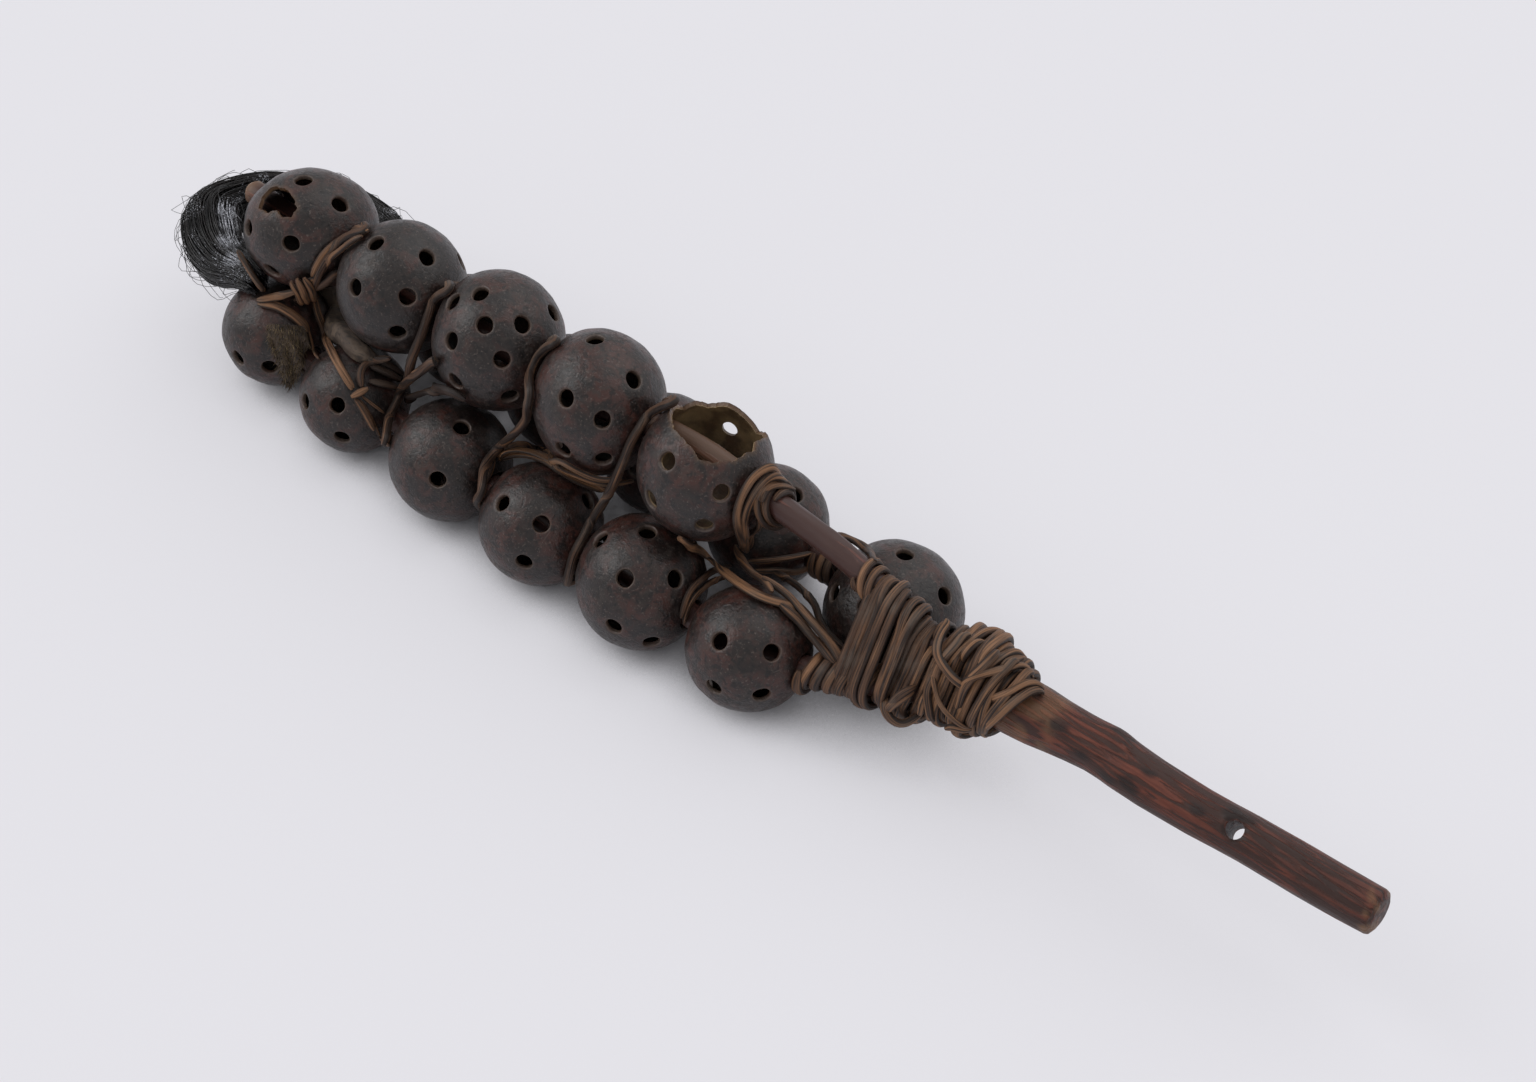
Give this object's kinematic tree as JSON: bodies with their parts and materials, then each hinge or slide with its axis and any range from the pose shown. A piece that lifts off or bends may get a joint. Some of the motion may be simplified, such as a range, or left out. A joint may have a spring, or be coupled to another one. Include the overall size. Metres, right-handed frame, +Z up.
{
  "type": "seed shell rattle",
  "caption": "Hand rattle of pierced globular fruit shells with loose seeds, threaded on sticks that split fibre lashes to a short wooden handle, with a hank of hair at the tip.",
  "frame": {"origin": "middle of the object's box, at the surface on which the lower shells lie", "axes": "+X from the hair to the handle's butt, +Z up, the front row of shells towards -Y"},
  "size_m": [0.575, 0.1042, 0.0953],
  "materials": {
    "shell": "dark polished rind",
    "seed": "dry",
    "stick": "smooth bark",
    "handle": "worn and streaked",
    "fibre": "split and twisted",
    "hair": "glossy",
    "hide": "dry, with short fur"
  },
  "bodies": {
    "rattle": {"shell_top_1": "shell", "shell_top_2": "shell", "shell_top_3": "shell", "shell_top_4": "shell", "shell_top_5": "shell", "shell_front_1": "shell", "shell_front_2": "shell", "shell_front_3": "shell", "shell_front_4": "shell", "shell_front_5": "shell", "shell_front_6": "shell", "shell_rear_1": "shell", "shell_rear_2": "shell", "shell_rear_3": "shell", "shell_rear_4": "shell", "shell_rear_5": "shell", "shell_rear_6": "shell", "stick_top": "stick", "stick_front": "stick", "stick_rear": "stick", "handle": "handle", "stick_lashing": "fibre", "handle_lashing": "fibre", "cross_lashing": "fibre", "collar": "fibre", "rear_tie": "fibre", "groove_tie_1": "fibre", "groove_tie_2": "fibre", "groove_tie_3": "fibre", "groove_tie_4": "fibre", "cross_strap": "fibre", "front_strap": "fibre", "tip_strap": "fibre", "tip_knot": "fibre", "hair_hank": "hair", "tail_dock": "hide", "hide_tag": "hide"},
    "loose_seed_top_1": {"seed_top_1": "seed"},
    "loose_seed_top_2": {"seed_top_2": "seed"},
    "loose_seed_top_3": {"seed_top_3": "seed"},
    "loose_seed_top_4": {"seed_top_4": "seed"},
    "loose_seed_front_1": {"seed_front_1": "seed"},
    "loose_seed_front_2": {"seed_front_2": "seed"},
    "loose_seed_front_3": {"seed_front_3": "seed"},
    "loose_seed_front_4": {"seed_front_4": "seed"},
    "loose_seed_front_5": {"seed_front_5": "seed"},
    "loose_seed_front_6": {"seed_front_6": "seed"},
    "loose_seed_rear_1": {"seed_rear_1": "seed"},
    "loose_seed_rear_2": {"seed_rear_2": "seed"},
    "loose_seed_rear_3": {"seed_rear_3": "seed"},
    "loose_seed_rear_4": {"seed_rear_4": "seed"},
    "loose_seed_rear_5": {"seed_rear_5": "seed"},
    "loose_seed_rear_6": {"seed_rear_6": "seed"}
  },
  "joints": [
    {"name": "seed_top_1_roll", "type": "hinge", "parent": "rattle", "child": "loose_seed_top_1", "pos_m": [-0.21273, -0.00022, 0.06628], "axis": [0.9999, -0.0059, -0.0092], "continuous": true},
    {"name": "seed_top_2_roll", "type": "hinge", "parent": "rattle", "child": "loose_seed_top_2", "pos_m": [-0.16123, -0.00042, 0.06593], "axis": [0.9998, 0.0146, 0.0159], "continuous": true},
    {"name": "seed_top_3_roll", "type": "hinge", "parent": "rattle", "child": "loose_seed_top_3", "pos_m": [-0.10873, 0.0011, 0.06782], "axis": [0.9995, 0.0116, 0.0284], "continuous": true},
    {"name": "seed_top_4_roll", "type": "hinge", "parent": "rattle", "child": "loose_seed_top_4", "pos_m": [-0.05523, 0.00078, 0.06869], "axis": [0.9997, 0.0078, 0.022], "continuous": true},
    {"name": "seed_front_1_roll", "type": "hinge", "parent": "rattle", "child": "loose_seed_front_1", "pos_m": [-0.21573, -0.02352, 0.023], "axis": [0.9984, -0.0556, 0.0037], "continuous": true},
    {"name": "seed_front_2_roll", "type": "hinge", "parent": "rattle", "child": "loose_seed_front_2", "pos_m": [-0.16423, -0.02627, 0.02325], "axis": [0.9993, -0.0337, 0.0155], "continuous": true},
    {"name": "seed_front_3_roll", "type": "hinge", "parent": "rattle", "child": "loose_seed_front_3", "pos_m": [-0.11173, -0.02702, 0.0245], "axis": [0.9998, -0.0138, 0.0147], "continuous": true},
    {"name": "seed_front_4_roll", "type": "hinge", "parent": "rattle", "child": "loose_seed_front_4", "pos_m": [-0.05823, -0.02777, 0.02475], "axis": [0.9999, 0.0013, 0.0103], "continuous": true},
    {"name": "seed_front_5_roll", "type": "hinge", "parent": "rattle", "child": "loose_seed_front_5", "pos_m": [-0.00473, -0.02677, 0.0255], "axis": [0.9997, 0.0239, -0.0107], "continuous": true},
    {"name": "seed_front_6_roll", "type": "hinge", "parent": "rattle", "child": "loose_seed_front_6", "pos_m": [0.04602, -0.02477, 0.02425], "axis": [0.9852, 0.1542, 0.0746], "continuous": true},
    {"name": "seed_rear_1_roll", "type": "hinge", "parent": "rattle", "child": "loose_seed_rear_1", "pos_m": [-0.20473, 0.02498, 0.0235], "axis": [0.998, 0.0622, 0.0103], "continuous": true},
    {"name": "seed_rear_2_roll", "type": "hinge", "parent": "rattle", "child": "loose_seed_rear_2", "pos_m": [-0.15323, 0.02798, 0.024], "axis": [0.9997, 0.0225, 0.0043], "continuous": true},
    {"name": "seed_rear_3_roll", "type": "hinge", "parent": "rattle", "child": "loose_seed_rear_3", "pos_m": [-0.10073, 0.02748, 0.024], "axis": [1, 0.004, 0.0049], "continuous": true},
    {"name": "seed_rear_4_roll", "type": "hinge", "parent": "rattle", "child": "loose_seed_rear_4", "pos_m": [-0.04723, 0.02848, 0.0245], "axis": [1, -0.0086, -0.0002], "continuous": true},
    {"name": "seed_rear_5_roll", "type": "hinge", "parent": "rattle", "child": "loose_seed_rear_5", "pos_m": [0.00627, 0.02648, 0.02425], "axis": [0.9997, -0.0225, 0.0101], "continuous": true},
    {"name": "seed_rear_6_roll", "type": "hinge", "parent": "rattle", "child": "loose_seed_rear_6", "pos_m": [0.07077, 0.02473, 0.02675], "axis": [0.9689, -0.2082, 0.1339], "continuous": true}
  ]
}
